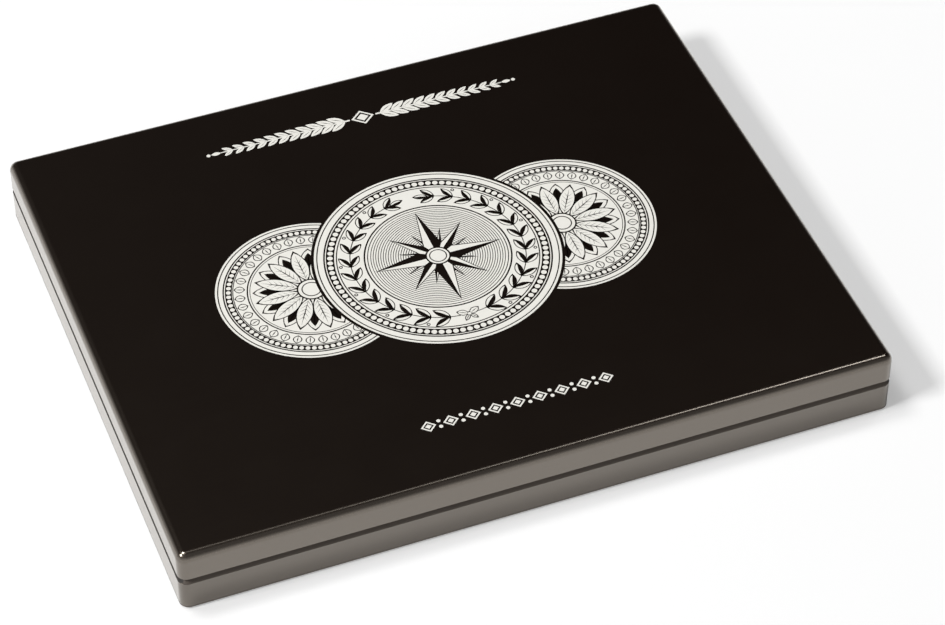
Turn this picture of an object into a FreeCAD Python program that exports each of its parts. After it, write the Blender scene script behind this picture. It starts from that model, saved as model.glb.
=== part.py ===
import FreeCAD, Part
import math
import os

# Flat hinged presentation case for coins in capsules: a lacquered fibreboard base and lid of mitred rails
# and boards, two small butt hinges in the bevelled back edge, magnets in the front rails, a board of round
# recesses on a foam floor, and a padded lid lining. Millimetres, +X right, +Y to the back, +Z up. The origin
# is on the table under the middle of the case.

# Case
case_length = 305.0
case_depth = 245.0
case_height = 30.0
base_share = 0.52
seam_gap = 0.1
rail_thickness = 9.0
lid_panel_thickness = 4.0
base_panel_thickness = 4.0
corner_radius = 4.0
lid_edge_radius = 3.4
seam_bevel_height = 1.4
seam_bevel_depth = 1.6
base_edge_chamfer = 0.9

# Hinges, let into the back rails
hinge_length = 30.0
hinge_end_distance = 57.5
barrel_radius = 1.6
barrel_inset = 0.3
pin_radius = 0.8
pin_clearance = 0.05
knuckle_gap = 0.3
leaf_thickness = 1.0
leaf_edge_margin = 0.8
leaf_barrel_gap = 0.25
mortise_clearance = 0.15
opening_angle = 100.0
stop_spare_angle = 0.6

# Countersunk hinge screws
screw_spacing = 18.0
screw_head_radius = 1.6
screw_shank_radius = 0.9
screw_end_cover = 3.95
screw_clearance = 0.05

# Closure magnets in the front rails
magnet_radius = 3.0
magnet_thickness = 2.5
magnet_end_distance = 92.5
magnet_clearance = 0.05

# Capsule insert
recess_diameter = 47.5
recess_web = 8.5
recess_edge_margin = 3.0
board_drop = 2.95
foam_thickness = 3.0
insert_clearance = 0.4

# Lid lining
lining_card_thickness = 1.5
pad_drop = 1.45
pad_crown_height = 3.0
pad_side_draw = 1.2
pad_clearance = 0.6

# Places and sizes worked out from the ones above
seam_height = case_height * base_share
base_top = seam_height - seam_gap / 2
lid_bottom = seam_height + seam_gap / 2
lid_panel_underside = case_height - lid_panel_thickness
inner_length = case_length - 2 * rail_thickness
inner_depth = case_depth - 2 * rail_thickness
front_face = -case_depth / 2
back_face = case_depth / 2
axis_y = back_face - barrel_inset - barrel_radius
axis_z = seam_height
leaf_front = back_face - rail_thickness + leaf_edge_margin
leaf_back = axis_y - barrel_radius - leaf_barrel_gap
rail_height = min(base_top - base_panel_thickness, lid_panel_underside - lid_bottom)
screw_length = rail_height - screw_end_cover
screw_y = (leaf_front + leaf_back) / 2
magnet_y = front_face + (seam_bevel_depth + rail_thickness) / 2
hinge_x = case_length / 2 - hinge_end_distance
magnet_x = case_length / 2 - magnet_end_distance
side_x = {"left": -1, "right": 1}
plan_corners = [(1, -1), (1, 1), (-1, 1), (-1, -1)]
overcut = 1.0


def vec(x, y, z):
    return FreeCAD.Vector(x, y, z)


def block(x_range, y_range, z_range):
    size = [high - low for low, high in (x_range, y_range, z_range)]
    return Part.makeBox(*size, vec(x_range[0], y_range[0], z_range[0]))


def polygon_face(points):
    return Part.Face(Part.makePolygon(points + points[:1]))


def plan_face(length, depth, radius, z):
    """Horizontal rectangle with round corners."""
    x, y = length / 2, depth / 2
    slant = radius * (1 - math.sqrt(0.5))
    starts, middles, ends = [], [], []
    for sx, sy in plan_corners:
        along_x = vec(sx * (x - radius), sy * y, z)
        along_y = vec(sx * x, sy * (y - radius), z)
        turns_to_y = sx * sy < 0
        starts.append(along_x if turns_to_y else along_y)
        middles.append(vec(sx * (x - slant), sy * (y - slant), z))
        ends.append(along_y if turns_to_y else along_x)
    edges = []
    for i in range(len(plan_corners)):
        edges.append(Part.LineSegment(ends[i - 1], starts[i]).toShape())
        edges.append(Part.Arc(starts[i], middles[i], ends[i]).toShape())
    return Part.Face(Part.Wire(edges))


def edges_at(solid, z):
    return [e for e in solid.Edges if all(abs(v.Point.z - z) < 1e-6 for v in e.Vertexes)]


def half_block(outer, seam):
    """One closed half of the case as a full block with round upright corners, bevelled towards the seam."""
    shoulder = seam + math.copysign(seam_bevel_height, outer - seam)
    inset = 2 * seam_bevel_depth
    plan = plan_face(case_length, case_depth, corner_radius, shoulder)
    mating = plan_face(case_length - inset, case_depth - inset, corner_radius - seam_bevel_depth, seam)
    slope = Part.makeLoft([plan.OuterWire, mating.OuterWire], True, True)
    return plan.extrude(vec(0, 0, outer - shoulder)).fuse(slope).removeSplitter()


def rounded(solid, z, radius):
    """Rounds the outer edge at one height; the round stays smaller than the upright corners' own."""
    return solid.makeFillet(min(radius, 0.9 * corner_radius), edges_at(solid, z))


def bevel(direction):
    """Wedge behind the hinge axis that lets the lid swing back; the two bevels meet as the lid's stop."""
    half_angle = math.radians((opening_angle + stop_spare_angle) / 2)
    reach = back_face - axis_y + overcut
    rise = direction * reach * math.tan(half_angle)
    x = case_length / 2 + overcut
    points = [vec(-x, axis_y, axis_z), vec(-x, axis_y + reach, axis_z), vec(-x, axis_y + reach, axis_z + rise)]
    return polygon_face(points).extrude(vec(2 * x, 0, 0))


def mitre_wedge(corner_signs):
    """Upright prism holding one side of a frame, with its ends at 45 degrees through the corners."""
    points = []
    for grow, order in ((overcut, 1), (-2 * rail_thickness, -1)):
        for sx, sy in corner_signs[::order]:
            points.append(vec(sx * (case_length / 2 + grow), sy * (case_depth / 2 + grow), -overcut))
    return polygon_face(points).extrude(vec(0, 0, case_height + 2 * overcut))


def mitred_rails(frame):
    sides = {
        "front": [(-1, -1), (1, -1)],
        "right": [(1, -1), (1, 1)],
        "back": [(1, 1), (-1, 1)],
        "left": [(-1, 1), (-1, -1)],
    }
    return {side: frame.common(mitre_wedge(signs)) for side, signs in sides.items()}


def layer(z_range):
    """Slab wider than the case between two heights."""
    x, y = case_length / 2 + overcut, case_depth / 2 + overcut
    return block((-x, x), (-y, y), z_range)


def case_opening(z_range):
    return block((-inner_length / 2, inner_length / 2), (-inner_depth / 2, inner_depth / 2), z_range)


def x_cylinder(radius, x_range):
    return Part.makeCylinder(radius, x_range[1] - x_range[0], vec(x_range[0], axis_y, axis_z), vec(1, 0, 0))


def span(centre, length):
    return (centre - length / 2, centre + length / 2)


def leaf_levels(direction, thickness):
    """Heights of a layer let into a mating face: down into the base for -1, up into the lid for +1."""
    face = base_top if direction < 0 else lid_bottom
    return tuple(sorted((face, face + direction * thickness)))


def hinge_mortise(x, direction):
    """What a back rail loses to one hinge: the leaf's pocket and the trough round the barrel."""
    x_range = span(x, hinge_length + 2 * mortise_clearance)
    pocket = block(x_range, (leaf_front - mortise_clearance, axis_y), leaf_levels(direction, leaf_thickness))
    return pocket.fuse(x_cylinder(barrel_radius + mortise_clearance, x_range))


def knuckle_spans(x):
    """X ranges of the three knuckles: the outer two belong to the lower leaf, the middle one to the upper."""
    length = (hinge_length - 2 * knuckle_gap) / 3
    step = length + knuckle_gap
    return [span(x + i * step, length) for i in (-1, 0, 1)]


def screw_xs(x):
    return [x - screw_spacing / 2, x + screw_spacing / 2]


def screw(grow=0.0):
    """Countersunk screw, head at z = 0 and shank downwards, or the room that it needs."""
    head, shank = screw_head_radius + grow, screw_shank_radius + grow
    end = -screw_length - grow
    points = [vec(0, 0, 0), vec(head, 0, 0), vec(shank, 0, shank - head), vec(shank, 0, end), vec(0, 0, end)]
    return polygon_face(points).revolve(vec(0, 0, 0), vec(0, 0, 1), 360)


def set_in_leaf(solid, x, direction):
    """Stands a downward fastener in the base's leaf, or turns it over into the lid's."""
    placed = solid.copy()
    if direction > 0:
        placed.rotate(vec(0, 0, 0), vec(1, 0, 0), 180)
    placed.translate(vec(x, screw_y, base_top if direction < 0 else lid_bottom))
    return placed


def hinge_leaf(x, direction):
    """Plate with its knuckles, screw seats and pin bore."""
    levels = leaf_levels(direction, leaf_thickness)
    leaf = block(span(x, hinge_length), (leaf_front, leaf_back), levels)
    spans = knuckle_spans(x)
    for x_range in (spans[0::2] if direction < 0 else spans[1:2]):
        leaf = leaf.fuse(block(x_range, (leaf_back, axis_y), levels))
        leaf = leaf.fuse(x_cylinder(barrel_radius, x_range))
    leaf = leaf.cut(x_cylinder(pin_radius + pin_clearance, span(x, hinge_length + 2 * overcut)))
    for screw_x in screw_xs(x):
        leaf = leaf.cut(set_in_leaf(screw(screw_clearance), screw_x, direction))
    return leaf.removeSplitter()


def hinge_pin(x):
    return x_cylinder(pin_radius, span(x, hinge_length))


def hinge_screws(direction):
    places = [x for side in side_x.values() for x in screw_xs(side * hinge_x)]
    return Part.makeCompound([set_in_leaf(screw(), x, direction) for x in places])


def magnet_disc(x, direction, grow=0.0):
    low, high = leaf_levels(direction, magnet_thickness)
    return Part.makeCylinder(magnet_radius + grow, high - low, vec(x, magnet_y, low))


def fitted_rails(frame, direction):
    """Rails of one half, with hinge mortises and screw holes at the back and magnet seats at the front."""
    rails = mitred_rails(frame)
    for side in side_x.values():
        rails["back"] = rails["back"].cut(hinge_mortise(side * hinge_x, direction))
        for x in screw_xs(side * hinge_x):
            rails["back"] = rails["back"].cut(set_in_leaf(screw(screw_clearance), x, direction))
        rails["front"] = rails["front"].cut(magnet_disc(side * magnet_x, direction, magnet_clearance))
    return rails


def base_pieces():
    half = half_block(0, base_top)
    half = half.makeChamfer(base_edge_chamfer, edges_at(half, 0))
    panel = half.common(layer((-overcut, base_panel_thickness)))
    frame = half.common(layer((base_panel_thickness, case_height)))
    frame = frame.cut(case_opening((0, case_height))).cut(bevel(-1))
    pieces = {"base_panel": panel}
    for side, rail in fitted_rails(frame, -1).items():
        pieces[f"base_{side}_rail"] = rail
    return pieces


def lid_pieces():
    half = rounded(half_block(case_height, lid_bottom), case_height, lid_edge_radius)
    panel = half.common(layer((lid_panel_underside, case_height + overcut)))
    frame = half.common(layer((0, lid_panel_underside)))
    frame = frame.cut(case_opening((0, case_height))).cut(bevel(1))
    pieces = {"lid_panel": panel}
    for side, rail in fitted_rails(frame, 1).items():
        pieces[f"lid_{side}_rail"] = rail
    return pieces


def recess_grid(length, depth):
    """Centres of the recesses: as many as the board holds in each direction, about its middle."""
    pitch = recess_diameter + recess_web
    columns, rows = [int((size - 2 * recess_edge_margin + recess_web) // pitch) for size in (length, depth)]
    xs = [(i - (columns - 1) / 2) * pitch for i in range(columns)]
    ys = [(j - (rows - 1) / 2) * pitch for j in range(rows)]
    return [(x, y) for y in ys for x in xs]


def insert_pieces():
    length, depth = inner_length - 2 * insert_clearance, inner_depth - 2 * insert_clearance
    foam_top = base_panel_thickness + foam_thickness
    foam = block(span(0, length), span(0, depth), (base_panel_thickness, foam_top))
    corners = [vec(sx * length / 2, sy * depth / 2, foam_top) for sx, sy in plan_corners]
    thickness = base_top - board_drop - foam_top
    wires = [Part.makePolygon(corners + corners[:1])]
    for x, y in recess_grid(length, depth):
        wires.append(Part.Wire(Part.makeCircle(recess_diameter / 2, vec(x, y, foam_top))))
    board = Part.makeFace(wires, "Part::FaceMakerBullseye").extrude(vec(0, 0, thickness))
    return {"capsule_floor": foam, "capsule_board": board}


def bowed_side(start, end, draw):
    """Arc from one corner of the pad to the next, drawn in towards the middle of the pad."""
    middle = (start + end) * 0.5
    inward = vec(-middle.x, -middle.y, 0).normalize()
    return Part.Arc(start, middle + inward * draw, end).toShape()


def pad_arch(half_span, low, crown, top):
    """Section of the pad across one direction: flat on the card, arched towards the coins."""
    arch = Part.Arc(vec(-half_span, 0, low), vec(0, 0, crown), vec(half_span, 0, low)).toShape()
    rest = Part.makePolygon([vec(half_span, 0, low), vec(half_span, 0, top), vec(-half_span, 0, top),
                             vec(-half_span, 0, low)])
    return Part.Face(Part.Wire([arch] + rest.Edges))


def lid_lining():
    length, depth = inner_length - 2 * pad_clearance, inner_depth - 2 * pad_clearance
    card_bottom = lid_panel_underside - lining_card_thickness
    card = block(span(0, length), span(0, depth), (card_bottom, lid_panel_underside))
    crown = lid_bottom + pad_drop
    low = crown + pad_crown_height
    corners = [vec(sx * length / 2, sy * depth / 2, crown - overcut) for sx, sy in plan_corners]
    sides = [bowed_side(corners[i - 1], corners[i], pad_side_draw) for i in range(len(corners))]
    pad = Part.Face(Part.Wire(sides)).extrude(vec(0, 0, card_bottom - crown + overcut))
    across, along = [pad_arch(size / 2 + overcut, low, crown, card_bottom) for size in (length, depth)]
    across.translate(vec(0, -depth / 2 - overcut, 0))
    along.rotate(vec(0, 0, 0), vec(0, 0, 1), 90)
    along.translate(vec(-length / 2 - overcut, 0, 0))
    pad = pad.common(across.extrude(vec(0, depth + 2 * overcut, 0)))
    pad = pad.common(along.extrude(vec(length + 2 * overcut, 0, 0)))
    return {"lid_lining_card": card, "lid_pad": pad}


def hardware():
    pieces = {"base_hinge_screws": hinge_screws(-1), "lid_hinge_screws": hinge_screws(1)}
    for name, side in side_x.items():
        pieces[f"hinge_{name}_lower_leaf"] = hinge_leaf(side * hinge_x, -1)
        pieces[f"hinge_{name}_upper_leaf"] = hinge_leaf(side * hinge_x, 1)
        pieces[f"hinge_{name}_pin"] = hinge_pin(side * hinge_x)
        pieces[f"base_{name}_magnet"] = magnet_disc(side * magnet_x, -1)
        pieces[f"lid_{name}_magnet"] = magnet_disc(side * magnet_x, 1)
    return pieces


def main():
    os.makedirs("parts", exist_ok=True)
    pieces = {**base_pieces(), **lid_pieces(), **insert_pieces(), **lid_lining(), **hardware()}
    for name, shape in pieces.items():
        shape.exportStep(f"parts/{name}.step")
        print(f"{name}: {len(shape.Solids)} solid(s), {shape.Volume / 1000:.3f} cm3, valid {shape.isValid()}")


main()
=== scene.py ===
import math
import bmesh
import bpy
from mathutils import Matrix, Vector


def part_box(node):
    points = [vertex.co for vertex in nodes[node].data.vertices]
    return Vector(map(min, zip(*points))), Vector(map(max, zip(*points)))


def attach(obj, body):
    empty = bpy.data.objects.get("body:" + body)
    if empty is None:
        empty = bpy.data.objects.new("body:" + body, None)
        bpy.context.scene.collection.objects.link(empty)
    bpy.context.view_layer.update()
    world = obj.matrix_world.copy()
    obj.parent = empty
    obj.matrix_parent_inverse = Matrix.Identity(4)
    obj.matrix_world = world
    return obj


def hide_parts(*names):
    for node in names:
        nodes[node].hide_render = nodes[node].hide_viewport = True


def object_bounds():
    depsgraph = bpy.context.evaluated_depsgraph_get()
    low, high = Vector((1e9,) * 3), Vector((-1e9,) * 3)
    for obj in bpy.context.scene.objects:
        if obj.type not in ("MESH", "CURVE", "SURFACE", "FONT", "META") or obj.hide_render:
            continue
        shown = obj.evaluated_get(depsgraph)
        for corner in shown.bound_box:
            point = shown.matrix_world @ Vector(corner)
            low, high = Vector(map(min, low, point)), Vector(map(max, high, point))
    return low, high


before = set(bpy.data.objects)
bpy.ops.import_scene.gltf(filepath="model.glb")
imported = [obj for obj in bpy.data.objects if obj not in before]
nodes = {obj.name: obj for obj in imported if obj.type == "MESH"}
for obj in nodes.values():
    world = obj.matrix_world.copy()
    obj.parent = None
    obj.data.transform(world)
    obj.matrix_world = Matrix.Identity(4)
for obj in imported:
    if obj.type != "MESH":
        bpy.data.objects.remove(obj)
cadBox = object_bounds()
mm = 0.001
scene = bpy.context.scene
print("frame loaded:", len(nodes), "nodes")


class Value:
    # a shader socket that works in plain arithmetic
    def __init__(self, finish, socket):
        self.finish, self.socket = finish, socket

    def work(self, operation, a, b):
        return self.finish.add("ShaderNodeMath", {"operation": operation}, {0: a, 1: b})

    def __add__(self, other):
        return self.work("ADD", self, other)

    def __radd__(self, other):
        return self.work("ADD", other, self)

    def __sub__(self, other):
        return self.work("SUBTRACT", self, other)

    def __rsub__(self, other):
        return self.work("SUBTRACT", other, self)

    def __mul__(self, other):
        return self.work("MULTIPLY", self, other)

    def __rmul__(self, other):
        return self.work("MULTIPLY", other, self)

    def __truediv__(self, other):
        return self.work("DIVIDE", self, other)

    def __rtruediv__(self, other):
        return self.work("DIVIDE", other, self)

    def __pow__(self, other):
        return self.work("POWER", self, other)

    def __neg__(self):
        return self.work("MULTIPLY", self, -1.0)

    def atLeast(self, other):
        return self.work("MAXIMUM", self, other)

    def atMost(self, other):
        return self.work("MINIMUM", self, other)

    def wave(self):
        return self.work("SINE", self, 0.0)

    def within(self):
        # held between 0 and 1
        return self.atLeast(0.0).atMost(1.0)


class Finish:
    # a node tree that is filled by one method
    def __init__(self, tree):
        self.tree = tree
        tree.nodes.clear()

    def add(self, kind, settings=None, inputs=None, output=0):
        node = self.tree.nodes.new(kind)
        for key, value in (settings or {}).items():
            setattr(node, key, value)
        for key, value in (inputs or {}).items():
            if isinstance(value, Value):
                self.tree.links.new(value.socket, node.inputs[key])
            else:
                node.inputs[key].default_value = value
        return Value(self, node.outputs[output]) if node.outputs else None

    def place(self, scale=(1, 1, 1)):
        # position on the object, stretched per axis
        spot = self.add("ShaderNodeTexCoord", output="Object")
        return self.add("ShaderNodeMapping", {"vector_type": "POINT"}, {"Vector": spot, "Scale": scale})

    def axis(self, spot, name):
        return self.add("ShaderNodeSeparateXYZ", {}, {0: spot}, output=name)

    def speckle(self, spot, size, detail=2.0, roughness=0.5):
        # noise from 0 to 1 with features about one size across
        return self.add("ShaderNodeTexNoise", {}, {"Vector": spot, "Scale": 1 / size, "Detail": detail,
                                                   "Roughness": roughness})

    def blend(self, share, first, second):
        colours = {"Factor": share, 6: first, 7: second}  # the mix node's colour sockets
        return self.add("ShaderNodeMix", {"data_type": "RGBA"}, colours, output=2)

    def bump(self, height, strength, depth):
        return self.add("ShaderNodeBump", {}, {"Height": height, "Strength": strength, "Distance": depth})

    def surface(self, inputs):
        shader = self.add("ShaderNodeBsdfPrincipled", {}, inputs)
        self.add("ShaderNodeOutputMaterial", {}, {"Surface": shader})


def newMaterial(name):
    material = bpy.data.materials.new(name)
    material.use_nodes = True
    return material, Finish(material.node_tree)


def newPiece(name, form, materials, body):
    # a finished mesh becomes a piece that moves with one half of the case
    mesh = bpy.data.meshes.new(name)
    form.normal_update()
    form.to_mesh(mesh)
    form.free()
    for material in materials:
        mesh.materials.append(material)
    mesh.polygons.foreach_set("use_smooth", [True] * len(mesh.polygons))
    piece = bpy.data.objects.new(name, mesh)
    scene.collection.objects.link(piece)
    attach(piece, body)
    return piece


# lacquer on fibreboard: a warm black with a clear top coat, faint long grain and a fine spray texture
lacquer = {
    "colour": (0.0074, 0.0041, 0.0031, 1),
    "grainColour": (0.0050, 0.0028, 0.0022, 1),
    "roughness": 0.22,
    "roughnessSpread": 0.08,
    # the base's copy reflects less than the lid's: painted shade standing in for the darker floor that the
    # base's front reflects
    "ior": {"base": 2.06, "lid": 2.25},
    "warmth": (1.0, 0.88, 0.74, 1),
    "coatRoughness": 0.15,
    "coatIor": 1.6,
    "coatTint": (0.83, 0.79, 0.735, 1),
    "peelSize": 1.3 * mm,
    "peelDepth": 0.008 * mm,
    "peelStrength": 0.5,
    "grainSize": 0.7 * mm,
    "grainStretch": 0.02,
    "cloudSize": 22 * mm,
}
# painted shade: the bevels inside the seam and a narrow line along the foot get a matt colour that stands in
# for the shade in the groove and the contact shadow at the foot
seamAndFootShade = {
    # painted shade tones: lighter on the front and back runs, darker at the two ends, as the light falls
    # there
    "colour": [(0.085, 0.068, 0.056, 1), (0.022, 0.018, 0.015, 1)],  # front and back, then the two ends
    "roughness": 0.7,
    "ior": 1.5,
    "halfHeight": 1.42 * mm,
    "depth": 1.75 * mm,
    "edge": 0.05 * mm,
    "fade": 0.1 * mm,
    "cornerRound": 4.0 * mm,
    "footShadeHeight": 1.55 * mm,
}
seamHeight = (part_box("base_front_rail")[1][2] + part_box("lid_front_rail")[0][2]) / 2


def paintedShadeMask(f):
    # 1 where shade is painted: on the foot and on the bevels of the seam, from the depth behind the rounded
    #                           outline of the case
    spot = f.place()
    outside, inside = 0.0, None
    for name, half in (("X", cadBox[1][0]), ("Y", cadBox[1][1])):
        along = f.axis(spot, name)
        past = along.atLeast(-along) - (half - seamAndFootShade["cornerRound"])
        outside = past.atLeast(0.0) ** 2.0 + outside
        inside = past if inside is None else inside.atLeast(past)
    depth = seamAndFootShade["cornerRound"] - outside ** 0.5 - inside.atMost(0.0)
    level = f.axis(spot, "Z")
    height = level - seamHeight
    near = ((seamAndFootShade["halfHeight"] - height.atLeast(-height)) / seamAndFootShade["fade"]).within()
    deep = ((depth - seamAndFootShade["edge"]) / seamAndFootShade["fade"]).within()
    shallow = ((seamAndFootShade["depth"] - depth) / seamAndFootShade["fade"]).within()
    foot = ((seamAndFootShade["footShadeHeight"] - level) / seamAndFootShade["fade"]).within()
    return foot.atLeast(near * deep * shallow)


def lacquerWithPaintedShade(name, along, ior):
    # grain runs along one axis; the painted shade of the seam and the foot is mixed in by its mask
    material, f = newMaterial(name)
    stretch = [lacquer["grainStretch"] if axis == along else 1.0 for axis in range(3)]
    grain = f.speckle(f.place(stretch), lacquer["grainSize"], 4.0, 0.6)
    clouds = f.speckle(f.place(), lacquer["cloudSize"], 3.0)
    peel = f.speckle(f.place(), lacquer["peelSize"], 1.0)
    rough = lacquer["roughness"] + lacquer["roughnessSpread"] * (0.6 * grain + 0.4 * clouds - 0.5)
    polished = f.add("ShaderNodeBsdfPrincipled", {}, {
        "Base Color": f.blend(grain, lacquer["colour"], lacquer["grainColour"]),
        "Roughness": rough,
        "IOR": ior,
        "Specular Tint": lacquer["warmth"],
        "Coat Weight": 1.0,
        "Coat Roughness": lacquer["coatRoughness"],
        "Coat IOR": lacquer["coatIor"],
        "Coat Tint": lacquer["coatTint"],
        "Normal": f.bump(peel * 0.7 + grain * 0.3, lacquer["peelStrength"], lacquer["peelDepth"]),
    })
    # painted shade: a matt colour standing in for the shade in the seam groove and the contact shadow along
    # the foot
    mattShade = f.add("ShaderNodeBsdfPrincipled", {}, {
        "Base Color": seamAndFootShade["colour"][along],
        "Roughness": seamAndFootShade["roughness"],
        "IOR": seamAndFootShade["ior"],
    })
    mixed = f.add("ShaderNodeMixShader", {}, {0: paintedShadeMask(f), 1: polished, 2: mattShade})
    f.add("ShaderNodeOutputMaterial", {}, {"Surface": mixed})
    return material


lacquerLong, lacquerSide = [
    {half: lacquerWithPaintedShade(f"{half}_lacquer_{run}", axis, ior) for half, ior in lacquer["ior"].items()}
    for axis, run in enumerate(("long", "side"))
]

# hardware finishes
brass = {"colour": (0.72, 0.50, 0.20, 1), "dull": (0.52, 0.34, 0.13, 1), "roughness": 0.24}
nickel = {"colour": (0.62, 0.60, 0.57, 1), "dull": (0.45, 0.44, 0.42, 1), "roughness": 0.20}
wear = {
    "brushSize": 0.16 * mm,
    "brushStretch": (0.03, 1, 1),
    "brushRough": 0.12,
    "brushStrength": 0.25,
    "brushDepth": 0.01 * mm,
    "stainSize": 3 * mm,
    "stainRough": 0.10,
}


def metalFinish(name, metal):
    material, f = newMaterial(name)
    brushed = f.speckle(f.place(wear["brushStretch"]), wear["brushSize"], 2.0)
    stains = f.speckle(f.place(), wear["stainSize"], 3.0)
    f.surface({
        "Base Color": f.blend(stains, metal["colour"], metal["dull"]),
        "Metallic": 1.0,
        "Roughness": metal["roughness"] + wear["brushRough"] * brushed + wear["stainRough"] * stains,
        "Normal": f.bump(brushed, wear["brushStrength"], wear["brushDepth"]),
    })
    return material


brassMetal = metalFinish("hinge_brass", brass)
nickelMetal = metalFinish("magnet_nickel", nickel)

# card behind the lining
card = {
    "colour": (0.022, 0.020, 0.019, 1),
    "fleck": (0.045, 0.042, 0.038, 1),
    "fibreSize": 0.8 * mm,
    "fibreDepth": 0.05 * mm,
    "fibreStrength": 0.4,
    "roughness": 0.85,
    "roughnessSpread": 0.1,
}


def cardFinish():
    material, f = newMaterial("lining_card")
    fibre = f.speckle(f.place(), card["fibreSize"], 4.0, 0.7)
    f.surface({
        "Base Color": f.blend(fibre ** 3.0, card["colour"], card["fleck"]),
        "Roughness": card["roughness"] + card["roughnessSpread"] * fibre,
        "Normal": f.bump(fibre, card["fibreStrength"], card["fibreDepth"]),
    })
    return material


cardMaterial = cardFinish()

# shading of the facets that come from the CAD solids
facets = {"join": 0.002 * mm, "crispAngle": 32, "faceWeight": 100}


def dress(name, material):
    # new material on a CAD node, with joined facets so that rounds shade evenly
    piece = nodes[name]
    piece.data.materials.clear()
    piece.data.materials.append(material)
    weld = piece.modifiers.new("join_facets", "WELD")
    weld.merge_threshold = facets["join"]
    crisp = piece.modifiers.new("crisp_edges", "EDGE_SPLIT")
    crisp.split_angle = math.radians(facets["crispAngle"])
    even = piece.modifiers.new("even_shade", "WEIGHTED_NORMAL")
    even.keep_sharp = True
    even.weight = facets["faceWeight"]


for half in ("base", "lid"):
    for side in ("front", "back"):
        dress(f"{half}_{side}_rail", lacquerLong[half])
    for side in ("left", "right"):
        dress(f"{half}_{side}_rail", lacquerSide[half])
        dress(f"{half}_{side}_magnet", nickelMetal)
    dress(f"{half}_panel", lacquerLong[half])
for side in ("left", "right"):
    for piece in ("lower_leaf", "upper_leaf", "pin"):
        dress(f"hinge_{side}_{piece}", brassMetal)
dress("lid_lining_card", cardMaterial)
print("CAD nodes dressed")

# silver ink, screen printed on the lid
ink = {
    "colour": (0.85, 0.835, 0.78, 1),
    "thin": (0.76, 0.745, 0.69, 1),
    "roughness": 0.46,
    "roughnessSpread": 0.12,
    "shine": 0.10,
    "flakeSize": 0.22 * mm,
    "flakeStrength": 0.2,
    "flakeDepth": 0.008 * mm,
    "streakSize": 1.6 * mm,
    "streakStretch": (0.05, 1, 1),
    "layer": 0.004 * mm,
    "circleSteps": 144,
}
silver, bare = 0, 1  # the print's two materials: ink, and lacquer left showing


def inkFinish():
    material, f = newMaterial("silver_ink")
    flakes = f.speckle(f.place(), ink["flakeSize"], 2.0)
    streaks = f.speckle(f.place(ink["streakStretch"]), ink["streakSize"], 3.0)
    f.surface({
        "Base Color": f.blend(0.6 * flakes + 0.4 * streaks, ink["colour"], ink["thin"]),
        "Roughness": ink["roughness"] + ink["roughnessSpread"] * flakes,
        "Metallic": ink["shine"] * flakes,
        "Normal": f.bump(flakes, ink["flakeStrength"], ink["flakeDepth"]),
    })
    return material


silverInk = inkFinish()
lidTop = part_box("lid_panel")[1][2]

# a drawn leaf, in shares of its length
leafLines = {
    "rib": (0.04, 0.5, 0.86),
    "veinFrom": 0.14,
    "veinSpan": 0.58,
    "veinRise": 0.13,
    "veinReach": 0.72,
    "veinWidth": 0.35,
    "fullness": 0.85,
}


class Drawing:
    # flat ink on the lid in millimetres about one point; higher layers lie over lower ones
    def __init__(self, centre, firstLayer):
        self.form = bmesh.new()
        self.centre, self.firstLayer = centre, firstLayer

    def corner(self, point, layer):
        height = lidTop + (self.firstLayer + layer + 1) * ink["layer"]
        x, y = self.centre[0] + point[0], self.centre[1] + point[1]
        return self.form.verts.new((x * mm, y * mm, height))

    def patch(self, points, layer, tone):
        face = self.form.faces.new([self.corner(point, layer) for point in points])
        face.material_index = tone

    def strip(self, first, second, layer, tone, closed=False):
        # quads between two rows of points
        rows = [[self.corner(point, layer) for point in row] for row in (first, second)]
        count = len(first)
        for i in range(count if closed else count - 1):
            j = (i + 1) % count
            face = self.form.faces.new([rows[0][i], rows[0][j], rows[1][j], rows[1][i]])
            face.material_index = tone

    def band(self, inner, outer, layer, tone, steps=None):
        rows = [arc(radius, 0, 360, steps or ink["circleSteps"])[:-1] for radius in (inner, outer)]
        self.strip(*rows, layer, tone, True)

    def dot(self, middle, radius, layer, tone, steps=16):
        self.patch([(middle[0] + x, middle[1] + y) for x, y in arc(radius, 0, 360, steps)[:-1]], layer, tone)

    def leaf(self, root, angle, length, width, line, layer, shade=0, veins=0):
        # dark leaf, silver leaf inside its outline, dark midrib, one half dark or with veins
        self.patch(placed(leafOutline(length, width, 0.0), root, angle), layer, bare)
        inside = leafOutline(length, width, line)
        self.patch(placed(inside, root, angle), layer + 1, silver)
        start, middle, end = [share * length for share in leafLines["rib"]]
        rib = [(start, 0), (middle, -0.5 * line), (end, 0), (middle, 0.5 * line)]
        self.patch(placed(rib, root, angle), layer + 2, bare)
        if shade:
            half = [(x, y) for x, y in inside if y * shade >= 0]
            half.sort()
            self.patch(placed(half, root, angle), layer + 2, bare)
        for hand in (-1, 1):
            for i in range(veins):
                start = length * (leafLines["veinFrom"] + leafLines["veinSpan"] * i / veins)
                end = start + leafLines["veinRise"] * length
                tip = (end, hand * leafHalf(end, length, width) * leafLines["veinReach"])
                thick = leafLines["veinWidth"] * line
                vein = [(start - thick, 0), (start + thick, 0), tip]
                self.patch(placed(vein, root, angle), layer + 2, bare)

    def finish(self, name):
        for face in self.form.faces:
            face.normal_update()
            if face.normal.z < 0:
                face.normal_flip()
        newPiece(name, self.form, [silverInk, lacquerLong["lid"]], "lid")


def polar(radius, degrees):
    return radius * math.cos(math.radians(degrees)), radius * math.sin(math.radians(degrees))


def arc(radius, start, end, steps):
    return [polar(radius, start + (end - start) * i / steps) for i in range(steps + 1)]


def placed(points, root, degrees):
    # points turned by an angle and set down at a root
    c, s = polar(1, degrees)
    return [(root[0] + c * x - s * y, root[1] + s * x + c * y) for x, y in points]


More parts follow.
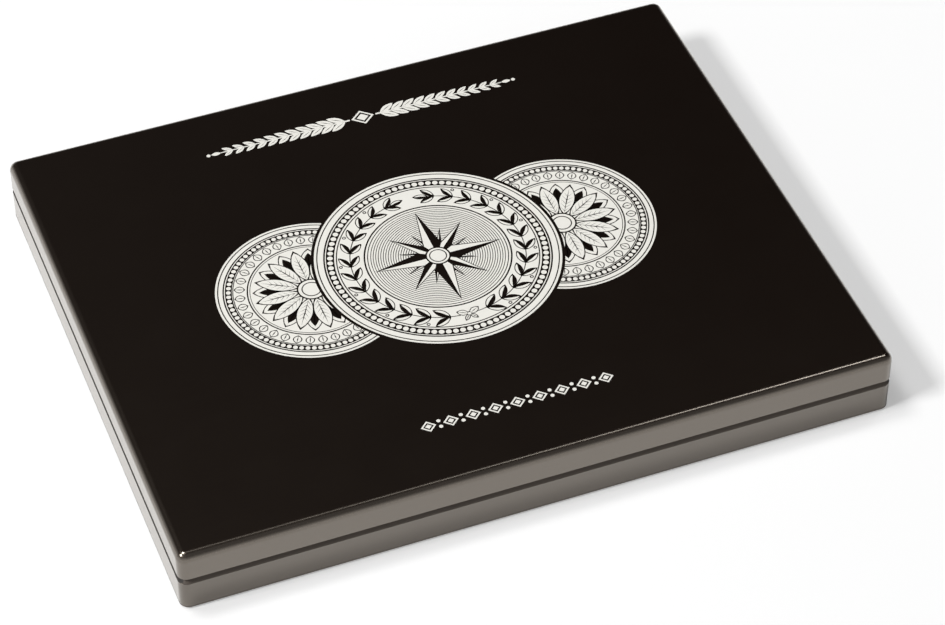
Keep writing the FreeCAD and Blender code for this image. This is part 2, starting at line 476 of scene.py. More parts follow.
def leafHalf(along, length, width):
    share = min(max(along / length, 0.0), 1.0)
    return 0.5 * width * math.sin(math.pi * share) ** leafLines["fullness"]


def leafOutline(length, width, inset, steps=9):
    # pointed oval, drawn in by a line's width
    tip = inset * length / width
    spots = [tip + (length - 2 * tip) * i / steps for i in range(steps + 1)]
    upper = [(x, max(leafHalf(x, length, width) - inset, 0.0)) for x in spots]
    upper[0], upper[-1] = (tip, 0.0), (length - tip, 0.0)
    return upper + [(x, -y) for x, y in upper[-2:0:-1]]


# middle medallion: bead border, laurel wreath and a faceted compass star on an engine-turned ground
middleMedal = {
    "radius": 52.0,
    "halo": 1.3,
    "rimLines": [(50.5, 51.0), (47.4, 48.1)],
    "beadBand": (43.5, 47.0),
    "beads": 96,
    "beadRadius": 1.2,
    "wreathLines": [(42.3, 42.8), (30.5, 31.2), (29.3, 29.7)],
    "ground": (6.0, 28.8, 1.05, 0.32),  # first ring, end, pitch, line
    "rays": [(16, 17.0, 3.4), (8, 23.0, 5.6), (4, 28.0, 8.2)],  # count, length, width
    "rayLine": 0.5,
    "rayWaist": 0.26,
    "boss": [(5.4, 4.7, bare), (4.7, 3.8, silver), (3.8, 3.3, bare), (3.3, 0.0, silver)],
}
# the middle medallion's wreath, with angles in degrees from its foot
laurel = {
    "radius": 36.9,
    "line": 0.42,
    "branch": (6, 166),
    "leafPairs": 13,
    "firstPair": 12,
    "pairSpan": 150,
    "leaf": (8.8, 3.7),
    "leafLean": 34,
    "leafTaper": 0.16,
    "tipLeaf": 0.8,
    "berryOut": 4.2,
    "berryAhead": 1.5,
    "berry": (0.85, 0.4),
    "bowLoop": (62, 5.6, 3.4),  # lean, length, width
    "bowEnd": (38, 4.6, 2.2),
    "bowKnot": (1.3, 0.8),
}
# side medallions: bead border, a ring of small petals and a large rosette
sideMedal = {
    "radius": 40.0,
    "places": {"left": -56.0, "right": 56.0},
    "rimLines": [(38.6, 39.1), (36.3, 36.9)],
    "beadBand": (33.0, 35.9),
    "beads": 84,
    "beadRadius": 1.0,
    "petalRing": (36, 27.5, 4.8, 4.0),  # count, root, length, width
    "ringLines": [(32.4, 32.8), (26.3, 26.9), (25.4, 25.7)],
    "rosette": [(12, 11.0, 13.6, 7.0, 15.0), (12, 4.6, 19.8, 7.2, 0.0)],  # the same, then a turn
    "core": (0.8, 0.6),
    "veins": 5,
    "line": 0.48,
    "boss": [(6.2, 5.5, bare), (5.5, 4.2, silver), (4.2, 3.7, bare), (3.7, 0.0, silver)],
}


def beadRing(drawing, medal):
    inner, outer = medal["beadBand"]
    drawing.band(inner, outer, 1, bare)
    for i in range(medal["beads"]):
        drawing.dot(polar((inner + outer) / 2, 360 * i / medal["beads"]), medal["beadRadius"], 2, silver)


def bossRings(drawing, medal, layer):
    for outer, inner, tone in medal["boss"]:
        if inner:
            drawing.band(inner, outer, layer, tone, 64)
        else:
            drawing.dot((0, 0), outer, layer, tone, 64)


def ringedDot(drawing, middle, sizes, steps=16):
    # dark dot with a silver centre
    for layer, (size, tone) in enumerate(zip(sizes, (bare, silver)), 1):
        drawing.dot(middle, size, layer, tone, steps)


def wreath(drawing):
    # two laurel branches that rise from the foot and nearly meet at the top
    length, width = laurel["leaf"]
    radius, line, foot = laurel["radius"], laurel["line"], -90
    first, last = laurel["branch"]
    pairs = laurel["leafPairs"]
    for hand in (-1, 1):
        sweep = arc(1, foot + hand * first, foot + hand * last, 40)
        edges = [[(x * r, y * r) for x, y in sweep] for r in (radius - line / 2, radius + line / 2)]
        drawing.strip(*edges, 1, bare)
        for i in range(pairs):
            turn = foot + hand * (laurel["firstPair"] + laurel["pairSpan"] * i / (pairs - 1))
            along = turn + hand * 90
            size = 1 - laurel["leafTaper"] * i / pairs
            for side in (-1, 1):
                heading = along + side * laurel["leafLean"]
                drawing.leaf(polar(radius, turn), heading, length * size, width * size, line, 1, -side)
            if i % 2:
                berry = polar(radius + laurel["berryOut"], turn + hand * laurel["berryAhead"])
                ringedDot(drawing, berry, laurel["berry"], 12)
        root, heading = polar(radius, foot + hand * last), foot + hand * (last + 90)
        drawing.leaf(root, heading, length * laurel["tipLeaf"], width * laurel["tipLeaf"], line, 1, hand)
    bow = polar(radius, foot)
    for hand in (-1, 1):
        lean, *size = laurel["bowLoop"]
        drawing.leaf(bow, 90 - hand * lean, *size, line, 1)
        lean, *size = laurel["bowEnd"]
        drawing.leaf(bow, -90 + hand * lean, *size, line, 1)
    ringedDot(drawing, bow, laurel["bowKnot"])


def compassStar(drawing, medal):
    # each ray has a silver half and a dark half, and longer rays lie over shorter ones
    line = medal["rayLine"]
    for order, (count, length, width) in enumerate(medal["rays"]):
        for i in range(count):
            angle = 90 + 360 * i / count
            waist = medal["rayWaist"] * length
            dark = [(0, 0), (waist, -width / 2), (length, 0), (waist, width / 2)]
            light = [(0.6, 0.1), (waist, width / 2 - line), (length - line * length / width, 0.05)]
            drawing.patch(placed(dark, (0, 0), angle), 1 + 2 * order, bare)
            drawing.patch(placed(light, (0, 0), angle), 2 + 2 * order, silver)


def makeMiddleMedal():
    medal = middleMedal
    drawing = Drawing((0, 0), 7)
    drawing.band(medal["radius"], medal["radius"] + medal["halo"], 0, bare)
    drawing.dot((0, 0), medal["radius"], 0, silver, ink["circleSteps"])
    for inner, outer in medal["rimLines"] + medal["wreathLines"]:
        drawing.band(inner, outer, 1, bare)
    beadRing(drawing, medal)
    wreath(drawing)
    radius, end, pitch, line = medal["ground"]
    while radius < end:
        drawing.band(radius, radius + line, 1, bare, 96)
        radius += pitch
    compassStar(drawing, medal)
    bossRings(drawing, medal, 7)
    drawing.finish("print_middle_medallion")


def makeSideMedal(name, x):
    medal = sideMedal
    drawing = Drawing((x, 0), 0)
    drawing.dot((0, 0), medal["radius"], 0, silver, ink["circleSteps"])
    for inner, outer in medal["rimLines"] + medal["ringLines"]:
        drawing.band(inner, outer, 1, bare)
    beadRing(drawing, medal)
    count, root, length, width = medal["petalRing"]
    for i in range(count):
        angle = 360 * i / count
        drawing.leaf(polar(root, angle), angle, length, width, medal["line"], 1)
    for order, (count, root, length, width, offset) in enumerate(medal["rosette"]):
        for i in range(count):
            angle = offset + 360 * i / count
            veins = medal["veins"] * order
            drawing.leaf(polar(root, angle), angle, length, width, medal["line"], 1 + 2 * order, 0, veins)
            if not order:
                core = leafOutline(length * medal["core"][0], width * medal["core"][1], 0.0)
                drawing.patch(placed(core, polar(root, angle), angle), 3, bare)
    bossRings(drawing, medal, 6)
    drawing.finish(f"print_{name}_medallion")


# ornaments above and below the medallions: a laurel spray and a chain of lozenges
spray = {
    "place": (0.0, 94.0),
    "reach": 69.0,
    "from": 8.0,
    "pairs": 11,
    "leaf": (8.6, 3.2),
    "leafLean": 30,
    "leafTaper": 0.4,
    "rib": [(0.1, 0), (0.5, -0.02), (0.82, 0), (0.5, 0.02)],
    "stem": (6, 0.9, 0.5),  # start, then the thickness there and at the tip
    "tipLeaf": (4.4, 2.0),
    "tipRoom": 4,
    "lastPairRoom": 9.5,
    "endDot": (1.6, 0.9),
    "lozenge": (10.4, 9.0),
    "nesting": (1.0, 0.76, 0.52),
}
chain = {
    "place": (0.0, -91.0),
    "reach": 41.5,
    "lozenges": 9,
    "size": (6.6, 6.0),
    "nesting": (1.0, 0.7, 0.42),
    "dot": 0.85,
    "dotRise": 1.6,
}


def lozenge(width, height):
    return [(-width / 2, 0), (0, -height / 2), (width / 2, 0), (0, height / 2)]


def nested(drawing, middle, width, height, sizes):
    # lozenges inside each other, silver and bare by turns
    for level, size in enumerate(sizes):
        corners = [(middle + x * size, y * size) for x, y in lozenge(width, height)]
        drawing.patch(corners, level, silver if level % 2 == 0 else bare)


def makeSpray():
    drawing = Drawing(spray["place"], 0)
    length, width = spray["leaf"]
    stem, thick, thin = spray["stem"]
    for hand in (-1, 1):
        outward = 0 if hand > 0 else 180
        end = hand * (spray["reach"] - spray["tipRoom"])
        corners = [(hand * stem, thick / 2), (end, thin / 2), (end, -thin / 2), (hand * stem, -thick / 2)]
        drawing.patch(corners, 0, silver)
        for i in range(spray["pairs"]):
            share = i / (spray["pairs"] - 1)
            x = hand * (spray["from"] + (spray["reach"] - spray["from"] - spray["lastPairRoom"]) * share)
            size = 1 - spray["leafTaper"] * share
            for side in (-1, 1):
                heading = outward + side * spray["leafLean"]
                outline = leafOutline(length * size, width * size, 0.0)
                drawing.patch(placed(outline, (x, 0), heading), 1, silver)
                rib = [(a * length * size, b * length * size) for a, b in spray["rib"]]
                drawing.patch(placed(rib, (x, 0), heading), 2, bare)
        outline = leafOutline(*spray["tipLeaf"], 0.0)
        drawing.patch(placed(outline, (end, 0), outward), 1, silver)
        gap, radius = spray["endDot"]
        drawing.dot((hand * (spray["reach"] + gap), 0), radius, 0, silver)
    nested(drawing, 0, *spray["lozenge"], spray["nesting"])
    drawing.finish("print_upper_spray")


def makeChain():
    drawing = Drawing(chain["place"], 0)
    width, height = chain["size"]
    pitch = 2 * (chain["reach"] - width / 2) / (chain["lozenges"] - 1)
    for i in range(chain["lozenges"]):
        x = pitch * (i - (chain["lozenges"] - 1) / 2)
        nested(drawing, x, width, height, chain["nesting"])
        if i:
            for side in (-1, 1):
                drawing.dot((x - pitch / 2, side * chain["dotRise"]), chain["dot"], 0, silver)
    drawing.finish("print_lower_chain")


for name, x in sideMedal["places"].items():
    makeSideMedal(name, x)
makeMiddleMedal()
makeSpray()
makeChain()
print("lid printed")

# velour board with its round recesses, on a foam sheet
velour = {
    "colour": (0.0062, 0.0058, 0.0064, 1),
    "brushed": (0.0175, 0.0165, 0.0180, 1),
    "roughness": 0.86,
    "roughnessSpread": 0.12,
    "specular": 0.12,
    "pile": 0.16 * mm,
    "floorPile": 0.112 * mm,
    "napDepth": 0.22 * mm,
    "strokeSize": 7.0 * mm,
    "clumpSize": 0.9 * mm,
    "sheen": 0.75,
    "sheenRoughness": 0.30,
    "sheenTint": (0.80, 0.79, 0.82, 1),
}
board = {
    "recesses": (5, 4),
    "pitch": 56.0 * mm,
    "recessRadius": 23.75 * mm,
    "rimRound": 1.2 * mm,
    "edgeRound": 1.4 * mm,
    "circleSteps": 72,
    "roundSteps": 5,
    "topRings": (0.34, 0.67, 1.0),
}
foam = {"swell": 0.35 * mm, "rings": 6, "recessGap": 0.3 * mm, "edgeRound": 0.8 * mm, "roundSteps": 4}
weldReach = 0.004 * mm  # points closer than this are one


def velourFinish(name, pileSize):
    material, f = newMaterial(name)
    pile = f.speckle(f.place(), pileSize, 4.0, 0.75)
    strokes = f.speckle(f.place((1, 0.3, 1)), velour["strokeSize"], 3.0, 0.6)
    clumps = f.speckle(f.place((1, 0.5, 1)), velour["clumpSize"], 3.0, 0.6)
    nap = (1.5 * strokes + 0.5 * clumps + 0.5 * pile - 0.8).within()
    f.surface({
        "Base Color": f.blend(nap, velour["colour"], velour["brushed"]),
        "Roughness": velour["roughness"] + velour["roughnessSpread"] * pile,
        "Specular IOR Level": velour["specular"],
        "Sheen Weight": velour["sheen"],
        "Sheen Roughness": velour["sheenRoughness"],
        "Sheen Tint": velour["sheenTint"],
        "Normal": f.bump(0.65 * pile + 0.2 * clumps + 0.15 * strokes, 1.0, velour["napDepth"]),
    })
    return material


boardVelour = velourFinish("board_velour", velour["pile"])
floorVelour = velourFinish("floor_velour", velour["floorPile"])


def recessCells(low, high):
    # each recess with its share of the board: the outer cells reach the edges
    columns, rows = board["recesses"]
    pitch = board["pitch"]
    for j in range(rows):
        for i in range(columns):
            x, y = (i - (columns - 1) / 2) * pitch, (j - (rows - 1) / 2) * pitch
            left = low[0] if i == 0 else x - pitch / 2
            right = high[0] if i == columns - 1 else x + pitch / 2
            front = low[1] if j == 0 else y - pitch / 2
            back = high[1] if j == rows - 1 else y + pitch / 2
            yield (x, y), (left, right, front, back)


def cellEdge(cell, steps):
    # points round a cell, as many on each side, from the front left corner
    left, right, front, back = cell
    corners = [(left, front), (right, front), (right, back), (left, back)]
    points = []
    for k in range(4):
        (x0, y0), (x1, y1) = corners[k], corners[(k + 1) % 4]
        count = steps // 4
        points += [(x0 + (x1 - x0) * i / count, y0 + (y1 - y0) * i / count) for i in range(count)]
    return points


def ringPoints(middle, radius, steps):
    return [(middle[0] + x, middle[1] + y) for x, y in arc(radius, -135, 225, steps)[:-1]]


def between(first, second, share):
    return [(a[0] + (b[0] - a[0]) * share, a[1] + (b[1] - a[1]) * share) for a, b in zip(first, second)]


def addRows(form, rows):
    # quads between closed rows of points, each row at its own heights
    made = [[form.verts.new((x, y, z)) for (x, y), z in zip(points, heights)] for points, heights in rows]
    for lower, upper in zip(made, made[1:]):
        count = len(lower)
        for i in range(count):
            j = (i + 1) % count
            form.faces.new([lower[i], lower[j], upper[j], upper[i]])
    return made


def drawnIn(low, high, inset):
    return (low[0] + inset, low[1] + inset), (high[0] - inset, high[1] - inset)


def roundedEdge(top, size, steps):
    # insets and heights down a rounded upper edge
    turns = [math.radians(90 * i / steps) for i in range(steps + 1)]
    return [(size * (1 - math.sin(t)), top - size * (1 - math.cos(t))) for t in turns]


def skirt(form, low, high, profile, border):
    # walls round a rectangular sheet, a row of points for each inset and height
    rows = []
    for inset, z in profile:
        (left, front), (right, back) = drawnIn(low, high, inset)
        points = skirtEdge((left, right, front, back), low, high, border)
        rows.append((points, [z] * len(points)))
    addRows(form, rows)


def skirtEdge(cell, low, high, border):
    # border points of the cells along the sheet's four sides
    left, right, front, back = cell
    count = board["circleSteps"] // 4
    inner = drawnIn(low, high, border)
    spreads = []
    for axis, (cells, near, far) in enumerate(zip(board["recesses"], (left, front), (right, back))):
        start, end = inner[0][axis], inner[1][axis]
        bounds = [start] + [(i - cells / 2) * board["pitch"] for i in range(1, cells)] + [end]
        stops = [a + (b - a) * i / count for a, b in zip(bounds, bounds[1:]) for i in range(count)] + [end]
        spreads.append([near + (far - near) * (stop - start) / (end - start) for stop in stops])
    spreadX, spreadY = spreads
    points = [(x, front) for x in spreadX[:-1]] + [(right, y) for y in spreadY[:-1]]
    points += [(x, back) for x in spreadX[:0:-1]] + [(left, y) for y in spreadY[:0:-1]]
    return points


def sewTogether(form):
    bmesh.ops.remove_doubles(form, verts=form.verts, dist=weldReach)
    bmesh.ops.recalc_face_normals(form, faces=form.faces)


def makeBoard():
    low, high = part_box("capsule_board")
    roundSize, rim, radius = board["edgeRound"], board["rimRound"], board["recessRadius"]
    steps = board["circleSteps"]
    inner = drawnIn(low, high, roundSize)
    form = bmesh.new()
    for middle, cell in recessCells(*inner):
        edge = cellEdge(cell, steps)
        rows = [(edge, [low[2]] * steps), (ringPoints(middle, radius, steps), [low[2]] * steps)]
        for k in range(board["roundSteps"] + 1):
            t = math.radians(90 * k / board["roundSteps"])
            ring = ringPoints(middle, radius + rim * (1 - math.cos(t)), steps)
            rows.append((ring, [high[2] - rim * (1 - math.sin(t))] * steps))
        lip = rows[-1][0]
        for share in board["topRings"]:
            rows.append((between(lip, edge, share), [high[2]] * steps))
        addRows(form, rows)
    profile = roundedEdge(high[2], roundSize, board["roundSteps"]) + [(0.0, low[2])]
    skirt(form, low, high, profile[::-1], roundSize)
    border = skirtEdge((inner[0][0], inner[1][0], inner[0][1], inner[1][1]), low, high, roundSize)
    outer = skirtEdge((low[0], high[0], low[1], high[1]), low, high, roundSize)
    addRows(form, [(border, [low[2]] * len(border)), (outer, [low[2]] * len(outer))])
    sewTogether(form)
    piece = newPiece("velour_board", form, [boardVelour], "base")
    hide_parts("capsule_board")


def makeFoam():
    # the sheet swells a little into each recess, where nothing presses on it
    low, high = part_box("capsule_floor")
    radius, border = board["recessRadius"] - foam["recessGap"], board["edgeRound"]
    steps = board["circleSteps"]
    form = bmesh.new()
    for middle, cell in recessCells(*drawnIn(low, high, border)):
        edge = cellEdge(cell, steps)
        rows = [(edge, [high[2]] * steps)]
        for k in range(foam["rings"]):
            share = 1 - k / foam["rings"]
            swell = foam["swell"] * (1 - share ** 4)
            rows.append((ringPoints(middle, radius * share, steps), [high[2] + swell] * steps))
        last = addRows(form, rows)[-1]
        top = form.verts.new((middle[0], middle[1], high[2] + foam["swell"]))
        for i in range(steps):
            form.faces.new([last[i], last[(i + 1) % steps], top])
        under = form.faces.new([form.verts.new((x, y, low[2])) for x, y in edge])
        under.normal_flip()
    profile = [(border, high[2])] + roundedEdge(high[2], foam["edgeRound"], foam["roundSteps"])
    skirt(form, low, high, profile + [(0.0, low[2]), (border, low[2])], border)
    sewTogether(form)
    piece = newPiece("foam_floor", form, [floorVelour], "base")
    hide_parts("capsule_floor")


makeBoard()
makeFoam()
print("insert made")

# padded lid lining: satin drawn over foam, held along its border at the card
satin = {
    "colour": (0.0105, 0.0100, 0.0112, 1),
    "worn": (0.0155, 0.0150, 0.0165, 1),
    "roughness": 0.30,
    "roughnessSpread": (0.10, 0.06),
    "thread": 0.22 * mm,
    "weftPitch": 5,
    "weaveStrength": 0.35,
    "weaveDepth": 0.03 * mm,
    "slubSize": 0.9 * mm,
    "slubStretch": (1, 0.1, 1),
    "foldSize": 18 * mm,
    "sheen": 0.18,
    "sheenRoughness": 0.3,
}
pad = {
    "cell": 2.6 * mm,
    "edgeRound": 4.2 * mm,
    "roundSteps": 5,
    "sideDraw": 1.2 * mm,
    "crown": 3.0 * mm,
    "swell": 0.22 * mm,
    "swellLength": (21.0 * mm, 27.0 * mm),
    "pucker": 0.55 * mm,
    "puckerWidth": 13.0 * mm,
    "puckerReach": 20.0 * mm,
    "puckerSway": (1.7, 0.37),
    "puckerSecond": (0.4, 1.45),
    "borderFade": 12,
    "heldDepth": 0.05 * mm,
    "frames": 20,
    "cap": 0.9 * mm,
}
padCloth = {
    "quality": 6,
    "mass": 0.12,
    "tension_stiffness": 22,
    "compression_stiffness": 22,
    "shear_stiffness": 12,
    "bending_stiffness": 0.25,
    "vertex_group_mass": "held",
    "use_pressure": True,
    "uniform_pressure_force": 3.0,
    "shrink_min": -0.012,
}


def satinFinish():
    material, f = newMaterial("lining_satin")
    spot = f.place()
    x, y = f.axis(spot, "X"), f.axis(spot, "Y")
    turn = 2 * math.pi / satin["thread"]
    across = turn / satin["weftPitch"]
    uneven = f.speckle(f.place(satin["slubStretch"]), satin["slubSize"], 2.0)
    warp = (x * turn + 3 * uneven).wave() * 0.5 + 0.5
    weft = (y * across + x * across).wave() * 0.5 + 0.5
    folds = f.speckle(f.place(), satin["foldSize"], 2.0)
    unevenRough, foldRough = satin["roughnessSpread"]
    f.surface({
        "Base Color": f.blend(0.6 * folds + 0.4 * uneven, satin["colour"], satin["worn"]),
        "Roughness": satin["roughness"] + unevenRough * uneven + foldRough * folds,
        "Sheen Weight": satin["sheen"],
        "Sheen Roughness": satin["sheenRoughness"],
        "Normal": f.bump(0.6 * warp + 0.4 * weft, satin["weaveStrength"], satin["weaveDepth"]),
    })
    return material


lidSatin = satinFinish()


def padForm():
    # closed crowned pad, flat on the card above, with rounded lower edges and sides drawn in
    low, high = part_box("lid_pad")
    halfX, halfY = high[0], high[1]
    columns, rows = [2 * round(half / pad["cell"]) for half in (halfX, halfY)]
    edge = low[2] + pad["crown"]
    form = bmesh.new()

    def drape(x, y):
        # puckers that run in from the border and fade, over broad low swells
        lengthX, lengthY = pad["swellLength"]
        (sway, swayRate), (second, secondRate) = pad["puckerSway"], pad["puckerSecond"]
        rise = pad["swell"] * math.sin(x / lengthX + math.sin(y / lengthY)) * math.cos(y / lengthY)
        for along, inward in ((x, halfY - abs(y)), (y, halfX - abs(x))):
            turn = 2 * math.pi * along / pad["puckerWidth"]
            wave = math.sin(turn + sway * math.sin(swayRate * turn)) + second * math.sin(secondRate * turn)
            rise += pad["pucker"] * math.exp(-inward / pad["puckerReach"]) * 0.5 * (wave + 1)
        return rise

    def spot(u, v, z, inset):
        x = u * (halfX - inset - pad["sideDraw"] * (1 - v * v))
        y = v * (halfY - inset - pad["sideDraw"] * (1 - u * u))
        return form.verts.new((x, y, z))

    def border():
        us = [2 * i / columns - 1 for i in range(columns)]
        vs = [2 * j / rows - 1 for j in range(rows)]
        return [(u, -1) for u in us] + [(1, v) for v in vs] + [(-u, 1) for u in us] + [(-1, -v) for v in vs]

    def sheet(height, inset):
        grid = [[spot(2 * i / columns - 1, 2 * j / rows - 1, 0, inset) for i in range(columns + 1)]
                for j in range(rows + 1)]
        for j in range(rows + 1):
            for i in range(columns + 1):
                grid[j][i].co.z = height(2 * i / columns - 1, 2 * j / rows - 1, grid[j][i].co)
        for j in range(rows):
            for i in range(columns):
                form.faces.new([grid[j][i], grid[j][i + 1], grid[j + 1][i + 1], grid[j + 1][i]])

    def lining(u, v, place):
        freeX, freeY = [min(1.0, pad["borderFade"] * (1 - abs(share))) for share in (u, v)]
        free = freeX * freeY
        return edge - pad["crown"] * (1 - u * u) * (1 - v * v) + free * drape(place.x, place.y)

    sheet(lambda u, v, place: high[2], 0)
    r, steps = pad["edgeRound"], pad["roundSteps"]
    sheet(lining, r)
    rings = [(0.0, high[2])]
    for k in range(steps + 1):
        t = math.radians(90 * k / steps)
        rings.append((r * (1 - math.cos(t)), edge + r * (1 - math.sin(t))))
    loops = [[spot(u, v, z, inset) for u, v in border()] for inset, z in rings]
    for upper, lower in zip(loops, loops[1:]):
        count = len(upper)
        for i in range(count):
            j = (i + 1) % count
            form.faces.new([upper[i], upper[j], lower[j], lower[i]])
    sewTogether(form)
    return form, high[2]


def inflate(piece, cardSide):
    # cloth under pressure, pinned where it lies on the card; every point's travel is capped
    mesh = piece.data
    start = [vertex.co.copy() for vertex in mesh.vertices]
    held = piece.vertex_groups.new(name="held")
    held.add([i for i, place in enumerate(start) if place.z > cardSide - pad["heldDepth"]], 1.0, "REPLACE")
    cloth = piece.modifiers.new("inflate", "CLOTH")
    for key, value in padCloth.items():
        setattr(cloth.settings, key, value)
    cloth.settings.effector_weights.gravity = 0
    cloth.collision_settings.use_collision = False
    cloth.point_cache.frame_start, cloth.point_cache.frame_end = 1, pad["frames"]
    for step in range(1, pad["frames"] + 1):
        scene.frame_set(step)
    shaped = piece.evaluated_get(bpy.context.evaluated_depsgraph_get()).to_mesh()
    places = [vertex.co.copy() for vertex in shaped.vertices]
    piece.modifiers.remove(cloth)
    scene.frame_set(1)
    for vertex, old, new in zip(mesh.vertices, start, places):
        move = new - old
        if move.length > pad["cap"]:
            move *= pad["cap"] / move.length
        vertex.co = old + move
    piece.vertex_groups.remove(held)


def makePad():
    low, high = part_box("lid_pad")
    form, cardSide = padForm()
    piece = newPiece("satin_pad", form, [lidSatin], "lid")
    inflate(piece, cardSide)
    for vertex in piece.data.vertices:
        place = vertex.co
        place.x = min(max(place.x, low[0]), high[0])
        place.y = min(max(place.y, low[1]), high[1])
        place.z = min(max(place.z, low[2]), high[2])
    smooth = piece.modifiers.new("smooth", "SUBSURF")
    smooth.levels = smooth.render_levels = 1
    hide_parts("lid_pad")


makePad()
print("lid lining made")

# countersunk hinge screws with a cross recess and a fine thread
screws = {
    "spacing": 18.0 * mm,
    "hingeX": 95.0 * mm,
    "headRadius": 1.58 * mm,
    "headEdge": 0.06 * mm,
    "rootRadius": 0.74 * mm,
    "threadRadius": 0.90 * mm,
    "pitch": 0.7 * mm,
    "threadRowsPerTurn": 6,
    "threadSharp": 3.2,
    "neck": 0.1 * mm,
    "taperFrom": 0.8,
    "taper": 0.8,
    "tipGap": 0.1 * mm,
    "slotWidth": 0.5 * mm,
    "slotLength": 1.9 * mm,
    "slotDepth": 0.7 * mm,
    "slotFloor": 0.6,
    "steps": 28,
}


def crossOutline(scale):
    # twelve corners of the cross recess, widest at the head's face
    half, reach = screws["slotWidth"] / 2 * scale, screws["slotLength"] / 2 * scale
    quarter = [(reach, -half), (reach, half), (half, half)]
    points = []
    for k in range(4):
        points += placed(quarter, (0, 0), 90 * k)
    return points


def addScrew(form, x, y, face, direction, length):
    # head at the hinge leaf's face, thread into the rail
    steps = screws["steps"]

    def vert(px, py, depth):
        return form.verts.new((x + px, y + py, face + direction * depth))

    head, crest, edge = screws["headRadius"], screws["threadRadius"], screws["headEdge"]
    start = head - crest + screws["neck"]
    rows = [(head - edge, 0.0), (head, edge), (crest, start)]
    loops = [[vert(*polar(r, 360 * i / steps), depth) for i in range(steps)] for r, depth in rows]
    threadRows = round((length - start) / screws["pitch"] * screws["threadRowsPerTurn"])
    taperFrom, root = screws["taperFrom"], screws["rootRadius"]
    for k in range(1, threadRows + 1):
        share = k / threadRows
        loop = []
        for i in range(steps):
            depth = start + (length - start) * share
            phase = (depth / screws["pitch"] - i / steps) % 1.0
            ridge = max(0.0, 1 - abs(phase - 0.5) * screws["threadSharp"])
            taper = 1 - screws["taper"] * max(0.0, share - taperFrom) / (1 - taperFrom)
            r = (root + (crest - root) * ridge) * taper
            loop.append(vert(*polar(r, 360 * i / steps), depth))
        loops.append(loop)
    for upper, lower in zip(loops, loops[1:]):
        for i in range(steps):
            form.faces.new([upper[i], upper[(i + 1) % steps], lower[(i + 1) % steps], lower[i]])
    form.faces.new(loops[-1])
    brim = [vert(px, py, 0.0) for px, py in crossOutline(1.0)]
    pit = [vert(px, py, screws["slotDepth"]) for px, py in crossOutline(screws["slotFloor"])]
    count = len(brim)
    for i in range(count):
        form.faces.new([brim[i], brim[(i + 1) % count], pit[(i + 1) % count], pit[i]])
    form.faces.new(pit)
    rims = []
    for loop in (loops[0], brim):
        rims += [form.edges.get((a, b)) for a, b in zip(loop, loop[1:] + loop[:1])]
    bmesh.ops.triangle_fill(form, use_beauty=True, edges=rims)


def makeScrews(half, direction):
    node = f"{half}_hinge_screws"
    low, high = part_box(node)
    face = high[2] if direction < 0 else low[2]
    length = high[2] - low[2] - screws["tipGap"]
    form = bmesh.new()
    for hinge in (-1, 1):
        for end in (-0.5, 0.5):
            x = hinge * screws["hingeX"] + end * screws["spacing"]
            addScrew(form, x, (low[1] + high[1]) / 2, face, direction, length)
    bmesh.ops.recalc_face_normals(form, faces=form.faces)
    piece = newPiece(f"{half}_cross_screws", form, [brassMetal], half)
    split = piece.modifiers.new("crisp_edges", "EDGE_SPLIT")
    split.split_angle = math.radians(facets["crispAngle"])
    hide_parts(node)


makeScrews("base", -1)
makeScrews("lid", 1)
print("screws made")

# camera, solved from the edges of the case in the photograph
camera = {
    "lens": 129.270,
    "sensor": 36,
    "clip": (0.05, 30),
    "place": (-0.353594, -0.966050, 1.009639),
    "right": (0.93376531, -0.35788396, -0.00118938),
    "up": (0.25192160, 0.65492809, 0.71246383),
    "back": (-0.25420042, -0.66557364, 0.70170784),
}
eye = bpy.data.objects.new("camera", bpy.data.cameras.new("camera"))
eye.data.lens = camera["lens"]
eye.data.sensor_width = camera["sensor"]
eye.data.clip_start, eye.data.clip_end = camera["clip"]
turn = Matrix((camera["right"], camera["up"], camera["back"])).transposed().to_4x4()
eye.matrix_world = Matrix.Translation(camera["place"]) @ turn
scene.collection.objects.link(eye)
scene.camera = eye

# studio: a white floor that keeps the shadow, a key from the left and a strip above the front edge
floor = {"colour": (0.93, 0.93, 0.93, 1), "glow": 0.30, "halfSize": 6.0, "fadeFrom": 0.45, "fadeTo": 1.1}
lamps = {
    "key": {"power": 222.0, "size": (1.3, 0.95), "place": (-3.70, -0.36, 3.93), "aim": (0, 0, 0)},
    "overhead": {"power": 18.0, "size": (0.60, 0.60), "place": (-0.60, 0.40, 2.14), "aim": (0, 0, 0)},
    "strip": {"power": 4.0, "size": (1.0, 0.2), "place": (0.44, 0.26, 1.52), "aim": (0.44, 0, 0),
              "dim": 0.1, "bright": 2.3, "fade": 3.0},
}
sky = {
    "low": 0.95,
    "high": 0.004,
    "reach": 0.48,
    "front": 0.18,
    "frontReach": 0.12,
    "frontTurn": 0.4,
    "left": 0.04,
    "leftFrom": 0.34,
    "leftTurn": 0.5,
    "dimWay": (0.69, 0.72),
    "dim": 0.75,
    "dimFrom": 0.1,
    "dimTurn": 0.5,
}


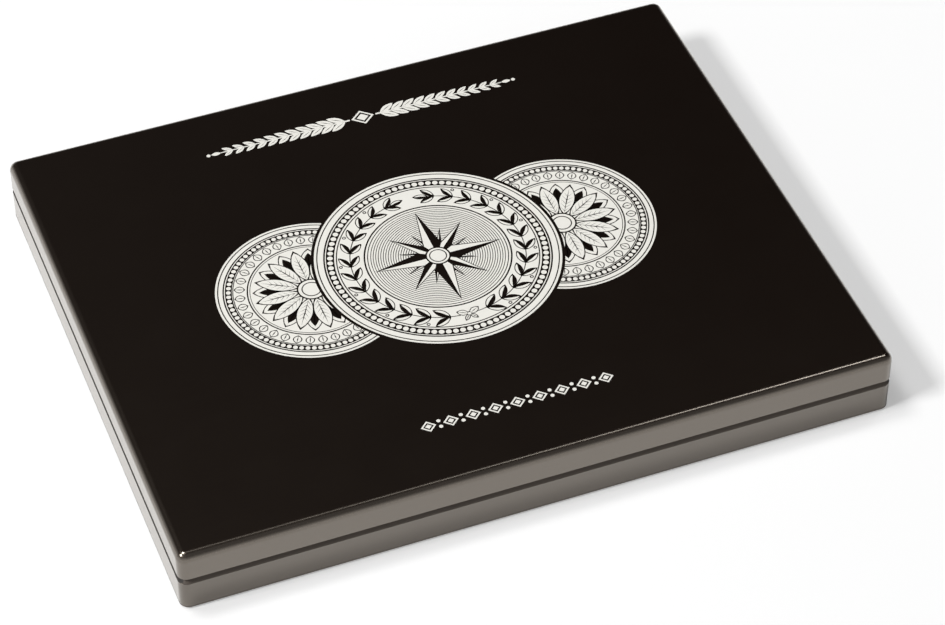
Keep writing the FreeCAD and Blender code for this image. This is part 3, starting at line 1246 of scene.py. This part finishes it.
def makeFloor():
    mesh = bpy.data.meshes.new("floor")
    h = floor["halfSize"]
    mesh.from_pydata([(-h, -h, 0), (h, -h, 0), (h, h, 0), (-h, h, 0)], [], [(0, 1, 2, 3)])
    ground = bpy.data.objects.new("floor", mesh)
    scene.collection.objects.link(ground)
    material, f = newMaterial("floor_paper")
    spot = f.add("ShaderNodeTexCoord", output="Object")
    far = f.add("ShaderNodeVectorMath", {"operation": "LENGTH"}, {0: spot}, output="Value")
    far = ((far - floor["fadeFrom"]) / (floor["fadeTo"] - floor["fadeFrom"])).within()
    seen = f.add("ShaderNodeLightPath", output="Is Camera Ray")
    mirrored = f.add("ShaderNodeLightPath", output="Is Glossy Ray")
    share = seen * (floor["glow"] + (1 - floor["glow"]) * far) + mirrored * far
    paper = f.add("ShaderNodeBsdfDiffuse", {}, {"Color": floor["colour"]})
    glow = f.add("ShaderNodeEmission", {}, {"Color": (1, 1, 1, 1), "Strength": 1.0})
    mixed = f.add("ShaderNodeMixShader", {}, {0: share, 1: paper, 2: glow})
    f.add("ShaderNodeOutputMaterial", {}, {"Surface": mixed})
    mesh.materials.append(material)


def makeSky():
    # white round the horizon, reaching higher in front, and dim above and at the back right
    world = bpy.data.worlds.new("studio")
    world.use_nodes = True
    scene.world = world
    f = Finish(world.node_tree)
    direction = f.add("ShaderNodeTexCoord", output="Generated")
    x, y, height = [f.axis(direction, name) for name in "XYZ"]
    front = (-y / sky["frontTurn"]).within()
    low = (1 - height / (sky["reach"] + sky["frontReach"] * front)).within()
    left = ((sky["leftFrom"] - x) / sky["leftTurn"]).within()
    away = ((x * sky["dimWay"][0] + y * sky["dimWay"][1] - sky["dimFrom"]) / sky["dimTurn"]).within()
    level = sky["high"] + sky["left"] * left + sky["front"] * front
    level = level + (sky["low"] * (1 - sky["dim"] * away) - sky["front"] * front) * low
    seen = f.add("ShaderNodeLightPath", output="Is Camera Ray")
    glow = f.add("ShaderNodeBackground", {}, {"Color": seen + (1 - seen) * level, "Strength": 1.0})
    f.add("ShaderNodeOutputWorld", {}, {"Surface": glow})


def makeLamp(name, lamp):
    data = bpy.data.lights.new(name, "AREA")
    data.shape = "RECTANGLE"
    data.size, data.size_y = lamp["size"]
    data.energy = lamp["power"]
    light = bpy.data.objects.new(name, data)
    light.location = lamp["place"]
    if "fade" in lamp:
        # dim at one end and bright at the other
        data.use_nodes = True
        f = Finish(data.node_tree)
        along = f.axis(f.add("ShaderNodeNewGeometry", output="Parametric"), "X")
        level = lamp["dim"] + lamp["bright"] * (1 - along) ** lamp["fade"]
        glow = f.add("ShaderNodeEmission", {}, {"Color": level, "Strength": 1.0})
        f.add("ShaderNodeOutputLight", {}, {"Surface": glow})
    aim = Vector(lamp["aim"]) - Vector(lamp["place"])
    light.rotation_euler = aim.to_track_quat("-Z", "Y").to_euler()
    scene.collection.objects.link(light)


makeFloor()
makeSky()
for name, lamp in lamps.items():
    makeLamp(name, lamp)
print("studio ready")

scene.view_settings.view_transform = "Standard"
